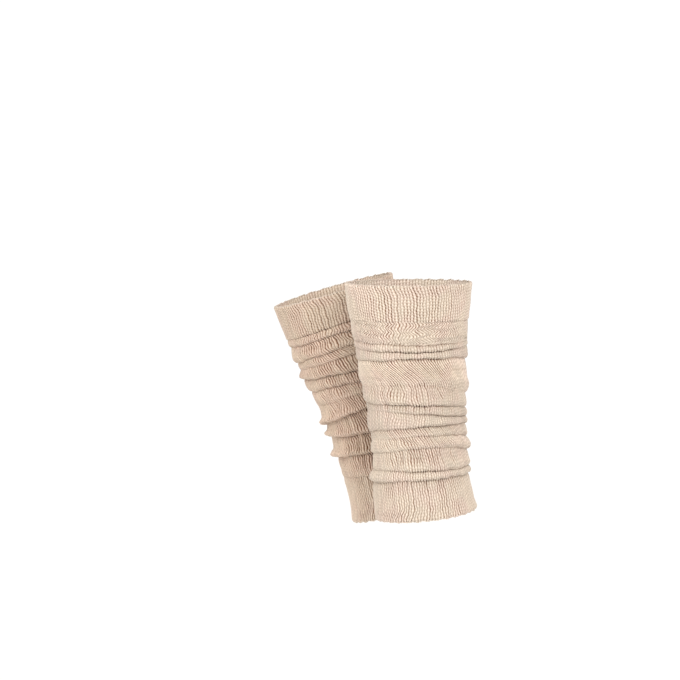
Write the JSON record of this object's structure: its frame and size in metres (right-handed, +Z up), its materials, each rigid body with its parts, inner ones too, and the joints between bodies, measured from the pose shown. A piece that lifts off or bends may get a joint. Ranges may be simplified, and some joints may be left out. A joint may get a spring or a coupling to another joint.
{
  "type": "pair of leg warmers",
  "caption": "Pair of slouched rib-knit tubes for the lower legs, open at both ends, with ribbed cuffs and a body pushed down into soft rolls.",
  "frame": {"origin": "middle of the left leg warmer's top cuff, where the left calf holds it", "axes": "+Z up, -Y to the wearer's front, +X to the wearer's left"},
  "size_m": [0.2513, 0.1651, 0.2441],
  "materials": {
    "rib_cuff": "matte cream cotton-like yarn in a one by one rib, 120 ribs round",
    "slouch_knit": "matte cream cotton-like yarn, its ribs leaning one way and then the other in bands"
  },
  "bodies": {
    "root": {"left_top_cuff": "rib_cuff", "left_upper_body": "slouch_knit", "left_lower_body": "slouch_knit", "left_hem_cuff": "rib_cuff", "right_top_cuff": "rib_cuff", "right_upper_body": "slouch_knit", "right_lower_body": "slouch_knit", "right_hem_cuff": "rib_cuff"}
  },
  "joints": []
}
